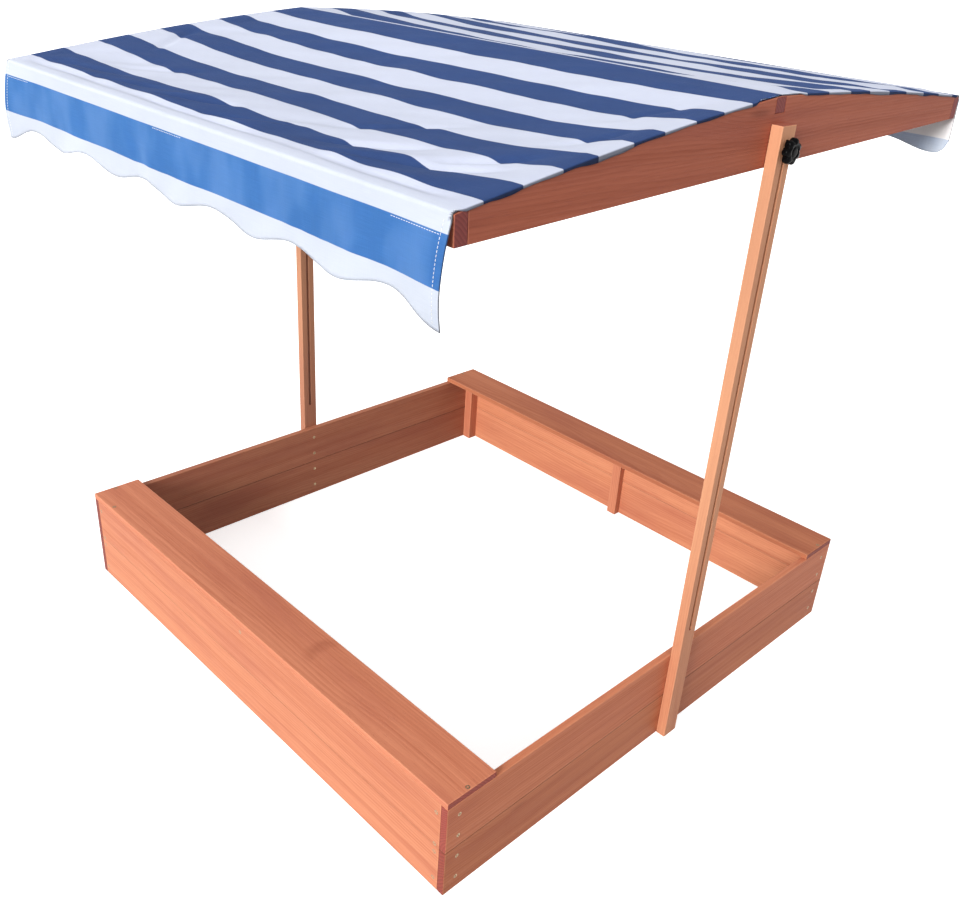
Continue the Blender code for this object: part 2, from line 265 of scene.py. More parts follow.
def wood(name, slot, grain, seed, box):
    """Sawn, stained softwood: growth rings round a pith line, fibres, knots; edges painted lighter, partly
    wear and partly painted highlight; painted shade at plank seams; painted light and shade in board tints
    and paler post tops.
    """
    # painted light and shade: each board's tint lightens or darkens it for how light falls on it, besides
    # its own tone
    tone_and_painted_light = next((BOARD_PAINTED_LIGHT_AND_TONE[part] for part in BOARD_PAINTED_LIGHT_AND_TONE if name.startswith("wood_" + part)), (1, 1, 1))
    light, dark, end_colour = ((*[min(c * t, 1) for c, t in zip(tone, tone_and_painted_light)], 1)
                               for tone in WOOD_TONES[slot])
    draw = np.random.default_rng(seed)
    graph = Graph(name)
    coordinates = graph.add("ShaderNodeTexCoord").outputs
    pith = (draw.uniform(-4, 4), draw.uniform(0.05, 0.09), draw.uniform(0.05, 0.12))
    middle = (Vector(box[0]) + Vector(box[1])) / 2
    centred = graph.stretch(coordinates["Object"], (1, 1, 1), tuple(-middle))
    board = graph.stretch(centred, (1, 1, 1), pith, GRAIN_TURN[grain])

    # knots push the rings aside
    cells = graph.add("ShaderNodeTexVoronoi", {"Vector": graph.stretch(board, (2.1, 9, 9)),
                                               "Scale": 1.0, "Randomness": 1.0})
    rare = graph.span(graph.add("ShaderNodeSeparateColor", {0: cells.outputs["Color"]}).outputs[0],
                      0.62, 0.66)
    knot = graph.math("MULTIPLY", graph.span(cells.outputs["Distance"], 0.02, 0.075, 1, 0), rare)
    halo = graph.math("MULTIPLY", graph.span(cells.outputs["Distance"], 0.06, 0.40, 1, 0), rare)

    warp = graph.noise(graph.stretch(board, (0.9, 5, 5)), detail=3.0)
    wiggle = graph.noise(graph.stretch(board, (9, 34, 34)), detail=2.0)
    across = graph.stretch(board, (0, 1, 1))
    radius = graph.add("ShaderNodeVectorMath", {0: across}, operation="LENGTH").outputs["Value"]
    radius = graph.math("MULTIPLY_ADD", warp, 0.060, radius)
    radius = graph.math("MULTIPLY_ADD", wiggle, 0.0035, radius)
    radius = graph.math("MULTIPLY_ADD", halo, 0.010, radius)
    phase = graph.math("FRACT", graph.math("DIVIDE", radius, RING_SPACING))
    late = graph.math("MULTIPLY", graph.span(phase, 0.15, 0.85), graph.span(phase, 0.90, 1.0, 1, 0))
    bands = graph.noise(graph.add("ShaderNodeCombineXYZ", {0: graph.math("MULTIPLY", radius, 38)})
                        .outputs[0], detail=2.0)

    fibre = graph.noise(graph.stretch(board, (2.2, 300, 300)), detail=3.0, roughness=0.65)
    dashes = graph.noise(graph.stretch(board, (20, 420, 420)), detail=2.0, roughness=0.6)
    blotch = graph.noise(graph.stretch(board, (0.9, 42, 42)), detail=3.0)
    stain = graph.noise(graph.stretch(board, (2.6, 15, 15)), detail=3.0)
    pores = graph.span(graph.noise(graph.stretch(board, (38, 1100, 1100)), detail=1.0), 0.66, 0.74)

    shade = graph.math("MULTIPLY", late, graph.span(bands, 0.3, 0.7, 0.06, 0.34))
    shade = graph.math("MULTIPLY_ADD", graph.span(fibre, 0.25, 0.75), 0.26, shade)
    shade = graph.math("MULTIPLY_ADD", graph.span(dashes, 0.35, 0.75), 0.20, shade)
    shade = graph.math("MULTIPLY_ADD", graph.span(blotch, 0.3, 0.7), 0.42, shade)
    colour = graph.mix(shade, light, dark)
    colour = graph.mix(graph.span(stain, 0.45, 0.75, 0.0, 0.30), colour, end_colour)
    colour = graph.mix(graph.math("MULTIPLY", pores, 0.30), colour, end_colour)
    colour = graph.mix(graph.math("MULTIPLY", knot, 0.45), colour, KNOT_BROWN)
    if slot == "post_fir":
        # painted light: the posts get paler towards their tops
        height = graph.add("ShaderNodeSeparateXYZ", {0: coordinates["Object"]}).outputs["Z"]
        colour = graph.mix(graph.span(height, 0.05, 0.75, 0.0, 0.55), colour, POST_TOP_PAINTED_LIGHT)
    if name == "wood_front_seat":
        colour = seat_knot(graph, coordinates["Object"], colour)

    facing = graph.add("ShaderNodeSeparateXYZ", {0: coordinates["Normal"]}).outputs[grain.upper()]
    end_mask = graph.span(graph.math("ABSOLUTE", facing), 0.75, 0.90)
    ends = graph.mix(graph.math("MULTIPLY_ADD", late, 0.5, graph.math("MULTIPLY", pores, 0.3)),
                     end_colour, (*[0.55 * c for c in end_colour[:3]], 1))
    colour = graph.mix(end_mask, colour, ends)

    # edges painted lighter, except on end grain: partly wear, partly a painted highlight where light
    # catches the rounded edges
    rim = edge_distance(graph, coordinates["Object"], box[0], box[1])
    chipped = graph.math("MULTIPLY_ADD", graph.noise(coordinates["Object"], 60.0), 0.004, 0.0002)
    worn = graph.math("LESS_THAN", rim, chipped)
    worn = graph.math("MULTIPLY", worn, graph.math("SUBTRACT", 1.0, end_mask))
    colour = graph.mix(graph.math("MULTIPLY", worn, 0.10), colour, EDGE_WEAR_AND_HIGHLIGHT)
    if "plank" in name:
        # painted shade: the planks are darkened along the joint between the lower and the upper plank
        parts = graph.add("ShaderNodeSeparateXYZ", {0: coordinates["Object"]}).outputs
        off = graph.math("ABSOLUTE", graph.math("SUBTRACT", parts[2], SEAM_Z))
        seam_shade = graph.span(off, 0.0010, 0.0022, PAINTED_SEAM_STRENGTH[grain], 0.0)
        colour = graph.mix(seam_shade, colour, PAINTED_SEAM_SHADE)

    rough = graph.math("MULTIPLY_ADD", fibre, 0.22, 0.46)
    height = graph.math("MULTIPLY_ADD", late, -0.35, fibre)
    height = graph.math("MULTIPLY_ADD", pores, -0.6, height)
    graph.set(graph.shader.inputs["Base Color"], colour)
    graph.set(graph.shader.inputs["Roughness"], rough)
    graph.set(graph.shader.inputs["Normal"], graph.bump(height, 0.5, 0.0005))
    graph.shader.inputs["Specular IOR Level"].default_value = 0.16
    return graph.material


def wood_grain(name):
    """The axis that a board's fibres run along."""
    if "post" in name or "cleat" in name:
        return "z"
    if name.split("_")[0] in ("left", "right"):
        return "y"
    return "x"


def dress_wood():
    """Give every wooden board a material of its own."""
    for seed, name in enumerate(sorted(NODES)):
        slot = NODES[name].material_slots[0].material.name
        if slot in WOOD_TONES:
            material = wood(f"wood_{name}", slot, wood_grain(name), seed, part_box(name))
            NODES[name].material_slots[0].material = material


# ---------------------------------------------------------------- fabric

def centre_of(name):
    """Mean place of a node's vertices."""
    points = np.array([v.co for v in NODES[name].data.vertices])
    return points.mean(axis=0)


def roof_frame():
    """The clamp bolts' height, and the roof's tilt about them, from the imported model."""
    low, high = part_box("right_star_knob")
    front, back = centre_of("front_eave_beam"), centre_of("back_eave_beam")
    return (low.z + high.z) / 2, math.atan2(back[2] - front[2], back[1] - front[1])


BOLT_Z, TILT = roof_frame()


def to_roof(point):
    """A world point in the roof's own axes: across, along the slope's level line, up."""
    y, z = point[1], point[2] - BOLT_Z
    return (point[0], y * math.cos(TILT) + z * math.sin(TILT), z * math.cos(TILT) - y * math.sin(TILT))


def from_roof(y, up):
    """(y, z) in the world of a point in the roof's own axes."""
    return (y * math.cos(TILT) - up * math.sin(TILT), BOLT_Z + y * math.sin(TILT) + up * math.cos(TILT))


def roof_line():
    """Quadratic for the height of the roof's wood over the distance from the ridge, and the
    distance from the ridge to the eave."""
    skin = np.array([to_roof(v.co) for v in NODES["canopy_top"].data.vertices])
    away = np.round(np.abs(skin[:, 1]), 4)
    tops = {}
    for distance, height in zip(away, skin[:, 2]):
        tops[distance] = max(tops.get(distance, -1.0), height)
    distances = np.array(sorted(tops))
    heights = np.array([tops[d] for d in distances]) - CLOTH_LIFT
    return np.polyfit(distances, heights, 2), float(skin[:, 1].max())


ROOF_CURVE, ROOF_HALF = roof_line()
HALF_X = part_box("right_gable")[1].x
GABLE_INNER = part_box("right_gable")[0].x
BEAM_INNER = ROOF_HALF - (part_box("front_eave_beam")[1].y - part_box("front_eave_beam")[0].y)
BAR_HALF = (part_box("ridge_bar")[1].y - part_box("ridge_bar")[0].y) / 2


def wood_top(y):
    """Height of the wood above the clamp bolts, in the roof's own axes."""
    return float(np.polyval(ROOF_CURVE, abs(y)))


def half_profile(side):
    """The cloth's cross-section from the ridge to below one eave: rows of
    distance along the cloth, y, z, outward normal y, z, and y in the roof's own axes."""
    corner = np.array(from_roof(side * ROOF_HALF, wood_top(ROOF_HALF)))
    slope = 2 * ROOF_CURVE[0] * ROOF_HALF + ROOF_CURVE[1]
    tilt = side * TILT
    up = math.atan(slope) + tilt
    normal_top = np.array([-side * math.sin(up), math.cos(up)])
    normal_face = np.array([side, 0.0])
    inward = normal_top + normal_face
    inward /= -np.linalg.norm(inward)
    reach = EAVE_RADIUS - CLOTH_LIFT
    centre = corner + inward * reach
    proud = EAVE_RADIUS - reach * float(-inward @ normal_top)
    rows = []
    for y in np.linspace(0, ROOF_HALF - 0.0042, SLOPE_STEPS):
        lift = CLOTH_LIFT + (proud - CLOTH_LIFT) * smooth(ROOF_HALF - 0.07, ROOF_HALF - 0.01, y)
        place = from_roof(side * y, wood_top(y) + lift)
        rows.append((*place, *normal_top, side * y))
    start = math.atan2(normal_top[1], normal_top[0])
    end = math.atan2(normal_face[1], normal_face[0])
    for k in range(BEND_STEPS + 1):
        angle = start + (end - start) * k / BEND_STEPS
        n = np.array([math.cos(angle), math.sin(angle)])
        rows.append((*(centre + n * EAVE_RADIUS), *n, side * ROOF_HALF))
    foot = np.array(rows[-1][:2])
    for down in np.linspace(0, 0.15, 31)[1:]:
        rows.append((foot[0], foot[1] - down, *normal_face, side * ROOF_HALF))
    rows = np.array(rows)
    steps = np.linalg.norm(np.diff(rows[:, :2], axis=0), axis=1)
    along = np.concatenate([[0], np.cumsum(steps)])
    eave = float(along[SLOPE_STEPS + BEND_STEPS])
    return np.column_stack([along, rows]), eave


PROFILES = {side: half_profile(side) for side in (-1, 1)}
EAVE = PROFILES[-1][1]                  # ridge to the start of the valance, along the cloth


def crumple(x, y, seed, long_scale, short_scale, angle):
    """Soft parallel folds, from -1 to 1, that run at an angle to the ridge."""
    a = x * math.cos(angle) + y * math.sin(angle)
    b = y * math.cos(angle) - x * math.sin(angle)
    return 2 * noise.noise(Vector((a / long_scale, b / short_scale, seed)))


# creases in the slopes: middle x and y in metres, direction in degrees, half length,
# half width and depth
FOLDS = (
    (0.400, -0.545, 22, 0.120, 0.011, 0.0050),
    (0.300, -0.520, 30, 0.080, 0.010, 0.0040),
    (0.470, -0.480, 38, 0.070, 0.012, 0.0040),
    (0.250, -0.430, 40, 0.090, 0.013, 0.0030),
    (0.080, -0.560, 20, 0.090, 0.010, 0.0040),
    (-0.080, -0.555, 18, 0.080, 0.009, 0.0045),
    (-0.250, -0.565, 14, 0.090, 0.010, 0.0040),
    (-0.420, -0.560, 12, 0.090, 0.010, 0.0035),
    (-0.330, -0.480, 32, 0.080, 0.014, 0.0030),
    (0.520, -0.330, 60, 0.060, 0.013, 0.0030),
    (0.500, -0.180, 62, 0.060, 0.014, 0.0025),
    (-0.500, -0.350, 120, 0.070, 0.014, 0.0030),
)


def slope_drop(x, y):
    """How far the cloth on the slopes hangs below the line of the wood under it."""
    away = abs(y)
    across = 1 - min(abs(x) / GABLE_INNER, 1.0) ** (5.0 if x > 0 else 3.2)
    t = min(max((away - BAR_HALF) / (BEAM_INNER - BAR_HALF), 0.0), 1.0)
    if y < 0:
        drop = SAG * across * math.sin(math.pi * t) ** 0.92
    else:
        drop = BACK_SAG * across * 6.75 * t * (1 - t) ** 2
        trough = math.exp(-((away - 0.062) / 0.042) ** 2) * smooth(0.0, 0.02, away - BAR_HALF)
        reach = (1 - smooth(0.05, 0.42, x)) * smooth(0.0, 0.12, GABLE_INNER - abs(x))
        drop += BACK_DIP * reach * trough
    free = (smooth(0.0, 0.040, GABLE_INNER - abs(x))
            * smooth(0.0, 0.035, away - BAR_HALF) * smooth(-0.004, 0.030, BEAM_INNER - away))
    ends = smooth(0.30, 0.54, abs(x))
    folds = (0.0013 + 0.0016 * ends) * crumple(x, y, 3.7, 0.30, 0.085, math.radians(42))
    folds += 0.0009 * crumple(x, y, 9.1, 0.12, 0.040, math.radians(30))
    if y < 0:
        folds += 0.0030 * smooth(0.36, 0.56, away) * crumple(x, y, 11.3, 0.20, 0.055, math.radians(35))
    else:
        folds = 0.6 * folds + 0.0022 * crumple(x, y, 5.2, 0.50, 0.12, math.radians(24))
    drop += free * folds
    for fold_x, fold_y, degrees, length, width, depth in FOLDS:
        turn = math.radians(degrees)
        a = (x - fold_x) * math.cos(turn) + (y - fold_y) * math.sin(turn)
        b = (y - fold_y) * math.cos(turn) - (x - fold_x) * math.sin(turn)
        reach = math.exp(-(a / length) ** 4)
        drop += free * reach * 1.4 * depth * math.exp(-(1.25 * b / width) ** 2)
    if y < 0:
        line = BEAM_INNER - 0.008 + 0.004 * noise.noise(Vector((x / 0.15, 6.1, 0)))
        gutter = math.exp(-((away - line) / 0.0075) ** 2)
        strength = 0.75 + 0.9 * noise.noise(Vector((x / 0.17, 1.3, 0)))
        crinkle = 0.0007 * noise.noise(Vector((x / 0.022, away / 0.02, 0)))
        drop += (0.0062 * strength + crinkle) * gutter * smooth(0.0, 0.06, GABLE_INNER - abs(x))
    return drop


def hem_drop(x, side):
    """Length of a valance at x. The front one is longest at its corners; the back one's
    corners are rounded off."""
    if side < 0:
        lobe = 0.5 + 0.5 * math.cos(math.tau * x / SCALLOP_PITCH)
        corner = smooth(HALF_X - SCALLOP_PITCH / 2, HALF_X, abs(x))
        return VALANCE_DROP - CORNER_DROP * (1 - corner) - SCALLOP_DEPTH * (1 - lobe)
    lobe = 0.5 + 0.5 * math.cos(math.tau * (x - BACK_LOBE) / SCALLOP_PITCH)
    cut = min(max(abs(x) - HALF_X + BACK_CORNER, 0.0) / BACK_CORNER, 1.0)
    rounding = 0.9 * BACK_CORNER * (1 - math.sqrt(1 - cut ** 2))
    return BACK_DROP - SCALLOP_DEPTH * (1 - lobe) - rounding


def valance_swing(x, down, side):
    """How far the hanging cloth stands out from plumb."""
    depth = down / VALANCE_DROP
    wave = noise.noise(Vector((x / 0.16, side * 4.0, 0.3 * depth)))
    wave += 0.5 * noise.noise(Vector((x / 0.07 + 1.5 * depth, side * 7.0, depth)))
    swing = 0.0065 * depth ** 1.2 * (1.0 + 1.6 * wave)
    pleats = math.exp(-((x + 0.10) / 0.10) ** 2) + math.exp(-((x - 0.34) / 0.12) ** 2)
    slant = (x - 0.55 * down) / 0.026
    ripple = noise.noise(Vector((slant, down / 0.09, side * 3.0))) + 0.3
    swing += 0.0022 * pleats * smooth(0.12, 0.4, depth) * (1 - smooth(0.7, 0.95, depth)) * ripple
    corner = smooth(0.45, HALF_X, abs(x))
    swing += corner * 0.011 * math.sin(math.pi * min(depth / 1.15, 1.0))
    if side > 0:
        swing *= 0.35
    return max(swing, -0.0004)


def cloth_point(across, along):
    """A point on the cloth's outer face.

    across runs from -1 to 1 over the flat cloth with its side hems beyond that, in
    metres past +-1; along is the distance from the ridge, negative towards the front.
    """
    side = -1 if along < 0 else 1
    table, eave = PROFILES[side]
    inside = min(max(across, -1.0), 1.0)
    past = abs(across) - abs(inside)
    edge = -1 if across < 0 else 1
    x = inside * (HALF_X - 0.0012)
    y, z, ny, nz, roof_y = (float(np.interp(abs(along), table[:, 0], table[:, k])) for k in range(1, 6))
    down = abs(along) - eave
    if down <= 0:
        z -= slope_drop(x, roof_y)
        wrap = smooth(POST_CLEARANCE, POST_CLEARANCE + 0.02, abs(roof_y))
        wrap *= smooth(0, 0.012, ROOF_HALF - 0.004 - abs(roof_y))
        if past:
            uneven = 1 + 0.6 * noise.noise(Vector((along / 0.05, edge * 3.0, 0)))
            for place, width, extra in HEM_FLAPS:
                uneven += extra * math.exp(-((along - place) / width) ** 4)
            turn = min(past / HEM_FOLD, 1.0) * math.pi / 2
            fall = max(past - HEM_FOLD, 0.0) * uneven
            x += edge * wrap * HEM_FOLD * math.sin(turn)
            z -= wrap * (HEM_FOLD * (1 - math.cos(turn)) + fall)
            x -= edge * (1 - wrap) * 0.0006
            x += edge * past * 0.10
    else:
        swing = valance_swing(x, down, side)
        y += side * swing
        x += edge * past * 0.25
        z += 0.5 * swing * swing / VALANCE_DROP
    return Vector((x, y, z))


def cloth_normal(across, along, step=0.002):
    """Outward direction of the cloth."""
    right = cloth_point(min(across + step, 1), along) - cloth_point(max(across - step, -1), along)
    ahead = cloth_point(across, along + step) - cloth_point(across, along - step)
    return right.cross(ahead).normalized()


def cloth_rows():
    """Distances along the cloth of the mesh's rows, valances as parts from 0 to 1."""
    fine = list(np.linspace(0, EAVE - 0.012, 112))[1:] + list(np.linspace(EAVE - 0.012, EAVE, 11))[1:]
    hang = [k / 26 for k in range(1, 27)]
    front = [("valance", -part) for part in reversed(hang)] + [("slope", -v) for v in reversed(fine)]
    back = [("slope", v) for v in fine] + [("valance", part) for part in hang]
    return front + [("slope", 0.0)] + back


def cloth_columns():
    """Places across the cloth of the mesh's columns, as cloth_point takes them."""
    flat = list(np.linspace(-1, 1, 201))
    past = [0.0006, 0.0012, HEM_FOLD, 0.0030, HEM_FOLD + HEM_WRAP]
    return [-1 - p for p in reversed(past)] + flat + [1 + p for p in past]


# the valances' outer blue is painted brighter than the slopes' blue: painted light
TOP_BLUE, VALANCE_PAINTED_LIGHT_BLUE, INSIDE_BLUE = rgb(47, 70, 118), rgb(60, 110, 173), rgb(214, 224, 240)
TOP_WHITE, VALANCE_WHITE, INSIDE_WHITE = rgb(190, 196, 215), rgb(195, 202, 216), rgb(250, 248, 250)

# painted shade where the hems turn down past the cloth's sides
PAINTED_HEM_SHADE = rgb(22, 18, 30)
PALE_PATCH = rgb(120, 160, 214)
YARN_PITCH = 0.0011

# where the print lies along the cloth, which is stretched unevenly: distances from the ridge
# on the cloth, then on the print
ALONG_CLOTH = (-2.0, -0.077, 0.0, 0.540, EAVE + 0.076, 2.0)
ALONG_PRINT = (-2.0, -0.077, -0.0148, 0.5029, 0.6992, 0.6992 + 2.0 - EAVE - 0.076)


def fabric(name, blues, whites):
    """Woven cloth with stripes printed along the ridge; each colour has a tone for
    the slopes and one for the valances, whose blue is painted brighter: painted light."""
    graph = Graph(name)
    uv = graph.add("ShaderNodeUVMap", uv_map="cloth").outputs["UV"]
    parts = graph.add("ShaderNodeSeparateXYZ", {0: uv}).outputs
    u, v = parts[0], parts[1]
    shifted = graph.math("DIVIDE", graph.math("SUBTRACT", v, STRIPE_START), STRIPE_PERIOD)
    place = graph.math("FRACT", graph.math("ADD", shifted, 0.5))
    away = graph.math("ABSOLUTE", graph.math("SUBTRACT", place, 0.5))
    fray = graph.noise(graph.stretch(uv, (900, 260, 1)), detail=1.0)
    away = graph.math("MULTIPLY_ADD", fray, 0.004, away)
    half = STRIPE_WIDTH / STRIPE_PERIOD / 2 + 0.002
    stripe = graph.span(away, half - 0.003, half + 0.003, 1, 0)

    across_yarn = graph.noise(graph.stretch(uv, (26, 1300, 1)), detail=2.0)
    down_yarn = graph.noise(graph.stretch(uv, (1300, 26, 1)), detail=2.0)
    cloud = graph.noise(graph.stretch(uv, (9, 9, 1)), detail=3.0)
    patches = graph.noise(graph.stretch(uv, (13, 7, 1), rotation=(0, 0, 0.5)), detail=2.0)
    tone = graph.math("MULTIPLY", across_yarn, 0.5)
    tone = graph.math("ADD", tone, graph.math("MULTIPLY", down_yarn, 0.3))
    tone = graph.math("MULTIPLY_ADD", cloud, 0.35, tone)
    hanging = graph.span(graph.math("ABSOLUTE", v), EAVE - 0.03, EAVE + 0.01)
    worn = graph.span(tone, 0.35, 0.80)
    tones = []
    for (roof_tone, hang_tone), dark in ((whites, 0.92), (blues, 0.82)):
        # painted light: the valances take their brighter tones
        tone_and_painted_light = graph.mix(hanging, roof_tone, hang_tone)
        tones.append(graph.mix(graph.math("MULTIPLY", worn, 1 - dark), tone_and_painted_light, (0, 0, 0, 1)))
    pale, deep = tones
    # painted shade: the cloth is darkened past its side edges, where the hems turn down out of the light
    hem_fold_shade = graph.span(graph.math("ABSOLUTE", u), HALF_X + 0.0006, HALF_X + 0.0020, 0.0, 0.62)
    pale, deep = (graph.mix(hem_fold_shade, tone_and_painted_light, PAINTED_HEM_SHADE) for tone_and_painted_light in (pale, deep))
    glow = graph.math("MULTIPLY", hanging, graph.span(patches, 0.40, 0.68, 0.0, 0.22))
    deep = graph.mix(glow, deep, PALE_PATCH)
    colour = graph.mix(stripe, pale, deep)

    pitch = math.tau / YARN_PITCH
    weft = graph.math("SINE", graph.math("MULTIPLY", u, pitch))
    warp = graph.math("SINE", graph.math("MULTIPLY", v, pitch))
    weave = graph.math("MULTIPLY", weft, warp)
    height = graph.math("MULTIPLY_ADD", weave, 0.35, graph.math("ADD", across_yarn, down_yarn))
    graph.set(graph.shader.inputs["Base Color"], colour)
    graph.set(graph.shader.inputs["Roughness"], graph.math("MULTIPLY_ADD", across_yarn, 0.15, 0.68))
    graph.set(graph.shader.inputs["Normal"], graph.bump(height, 0.22, 0.0004))
    graph.shader.inputs["Specular IOR Level"].default_value = 0.10
    graph.shader.inputs["Subsurface Weight"].default_value = 0.5
    graph.shader.inputs["Subsurface Radius"].default_value = (1, 1, 1)
    graph.shader.inputs["Subsurface Scale"].default_value = SCATTER
    return graph.material


def cloth_mesh():
    """The cloth's outer face, with its thickness weights and its flat pattern as UVs."""
    rows, columns = cloth_rows(), cloth_columns()
    bm = bmesh.new()
    thick = bm.verts.layers.deform.new()
    flat_uv = {}
    grid = []
    for kind, value in rows:
        line = []
        for across in columns:
            inside = min(max(across, -1), 1)
            x = inside * HALF_X
            along = value
            if kind == "valance":
                side = -1 if value < 0 else 1
                along = side * (EAVE + abs(value) * hem_drop(x, side))
            vert = bm.verts.new(cloth_point(across, along))
            hem_start = 1 - HEM_WIDTH / HALF_X if kind == "valance" else 1
            vert[thick][0] = 1.0 if abs(across) > hem_start else 1 / HEM_TIMES
            flat_uv[vert] = (x + (across - inside), np.interp(along, ALONG_CLOTH, ALONG_PRINT))
            line.append(vert)
        grid.append(line)
    for row, following in zip(grid, grid[1:]):
        for k in range(len(columns) - 1):
            bm.faces.new((row[k], row[k + 1], following[k + 1], following[k]))
    uv = bm.loops.layers.uv.new("cloth")
    for face in bm.faces:
        for loop in face.loops:
            loop[uv].uv = flat_uv[loop.vert]
    bm.normal_update()
    return bm


def make_canopy():
    outside = fabric("striped_cloth", (TOP_BLUE, VALANCE_PAINTED_LIGHT_BLUE), (TOP_WHITE, VALANCE_WHITE))
    inside = fabric("striped_cloth_inside", (INSIDE_BLUE, INSIDE_BLUE), (INSIDE_WHITE, INSIDE_WHITE))
    obj = new_object("canopy_cloth", cloth_mesh(), outside, inside)
    obj.data.shade_smooth()
    obj.vertex_groups.new(name="thickness")
    solid = obj.modifiers.new("cloth_thickness", "SOLIDIFY")
    solid.thickness = CLOTH_THICK * HEM_TIMES
    solid.offset = -1
    solid.vertex_group = "thickness"
    solid.material_offset = 1
    solid.material_offset_rim = 0
    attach(obj, ROOF_BODY)
    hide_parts("canopy_top", "canopy_front_valance", "canopy_back_valance")
    return obj


# ---------------------------------------------------------------- stitching

STITCH = 0.0034
STITCH_GAP = 0.0012
THREAD = 0.00042                        # radius
THREAD_SIDES = 6


def thread_material():
    graph = Graph("sewing_thread")
    point = graph.add("ShaderNodeTexCoord").outputs["Object"]
    ply = graph.noise(point, 2600.0, 1.0)
    graph.set(graph.shader.inputs["Base Color"],
              graph.mix(graph.span(ply, 0.3, 0.7), rgb(240, 240, 236), rgb(206, 206, 204)))
    graph.set(graph.shader.inputs["Normal"], graph.bump(ply, 0.5, 0.0002))
    graph.shader.inputs["Roughness"].default_value = 0.6
    return graph.material


def add_stitch(bm, start, end, normal):
    """One thread dash between two holes, sunk into the cloth at both ends."""
    along = (end - start).normalized()
    side = along.cross(normal).normalized()
    rings = []
    for part, size, height in ((0.0, 0.5, -0.0003), (0.15, 0.9, 0.0001), (0.5, 1.0, 0.0002),
                               (0.85, 0.9, 0.0001), (1.0, 0.5, -0.0003)):
        middle = start.lerp(end, part) + normal * height
        ring = []
        for k in range(THREAD_SIDES):
            angle = math.tau * k / THREAD_SIDES
            out = side * math.cos(angle) + normal * math.sin(angle)
            ring.append(bm.verts.new(middle + out * THREAD * size))
        rings.append(ring)
    join_rings(bm, rings)
    bm.faces.new(list(reversed(rings[0])))
    bm.faces.new(rings[-1])


def stitch_line(bm, start, end):
    """Stitches between two (across, along) places on the cloth."""
    start, end = Vector(start), Vector(end)
    length = (cloth_point(*end) - cloth_point(*start)).length
    count = max(int(length / (STITCH + STITCH_GAP)), 1)
    share = STITCH / (STITCH + STITCH_GAP)
    for k in range(count):
        a = start.lerp(end, k / count)
        b = start.lerp(end, (k + share) / count)
        normal = cloth_normal(*a.lerp(b, 0.5))
        add_stitch(bm, cloth_point(*a), cloth_point(*b), normal)


def make_stitching():
    """Seams that show at the eaves and down the valances' side hems."""
    bm = bmesh.new()
    band_top = STRIPE_WIDTH / 2 - STRIPE_START + 4 * STRIPE_PERIOD + 0.0695
    for x_from, x_to in ((-0.578, -0.50), (-0.062, 0.020), (0.49, 0.578)):
        stitch_line(bm, (x_from / HALF_X, -band_top), (x_to / HALF_X, -band_top))
        stitch_line(bm, (x_from / HALF_X, band_top), (x_to / HALF_X, band_top))
    for side in (-1, 1):
        for edge in (-1, 1):
            across = edge * (1 - 0.0105 / HALF_X)
            x = across * HALF_X
            foot = EAVE + hem_drop(x, side) - 0.006
            stitch_line(bm, (across, side * (EAVE + 0.004)), (across, side * foot))
    return add_mesh("canopy_stitching", bm, thread_material(), ROOF_BODY)


# ---------------------------------------------------------------- metal and plastic

def steel():
    graph = Graph("zinc_steel")
    point = graph.add("ShaderNodeTexCoord").outputs["Object"]
    spangle = graph.noise(point, 900.0, 2.0)
    graph.set(graph.shader.inputs["Base Color"],
              graph.mix(graph.span(spangle, 0.3, 0.7), rgb(184, 160, 128), rgb(138, 116, 92)))
    graph.set(graph.shader.inputs["Roughness"], graph.math("MULTIPLY_ADD", spangle, 0.25, 0.28))
    graph.shader.inputs["Metallic"].default_value = 1.0
    return graph.material


def black_plastic():
    graph = Graph("black_plastic")
    point = graph.add("ShaderNodeTexCoord").outputs["Object"]
    skin = graph.noise(point, 1400.0, 2.0)
    scuffs = graph.span(graph.noise(point, 120.0, 3.0), 0.62, 0.75)
    colour = graph.mix(graph.span(skin, 0.3, 0.7), rgb(4, 4, 5), rgb(8, 8, 9))
    graph.set(graph.shader.inputs["Base Color"], graph.mix(scuffs, colour, rgb(26, 26, 28)))
    graph.set(graph.shader.inputs["Roughness"], graph.math("MULTIPLY_ADD", scuffs, 0.18, 0.26))
    graph.shader.inputs["Specular IOR Level"].default_value = 0.05
    graph.set(graph.shader.inputs["Normal"], graph.bump(skin, 0.15, 0.0002))
    return graph.material


SCREW_RADIUS = 0.0040
SCREW_DEEP = 0.0032
SCREW_SIDES = 48
RECESS_DEEP = 0.0016
RECESS_ARM = 0.0023                     # length of the cross recess's arms
RECESS_HALF = 0.00066                   # and half their width
DOME = 0.0002


def smooth_down(edge, width, value):
    """1 up to a little before the edge, and 0 past it."""
    return 1 - smooth(edge - width, edge, value)


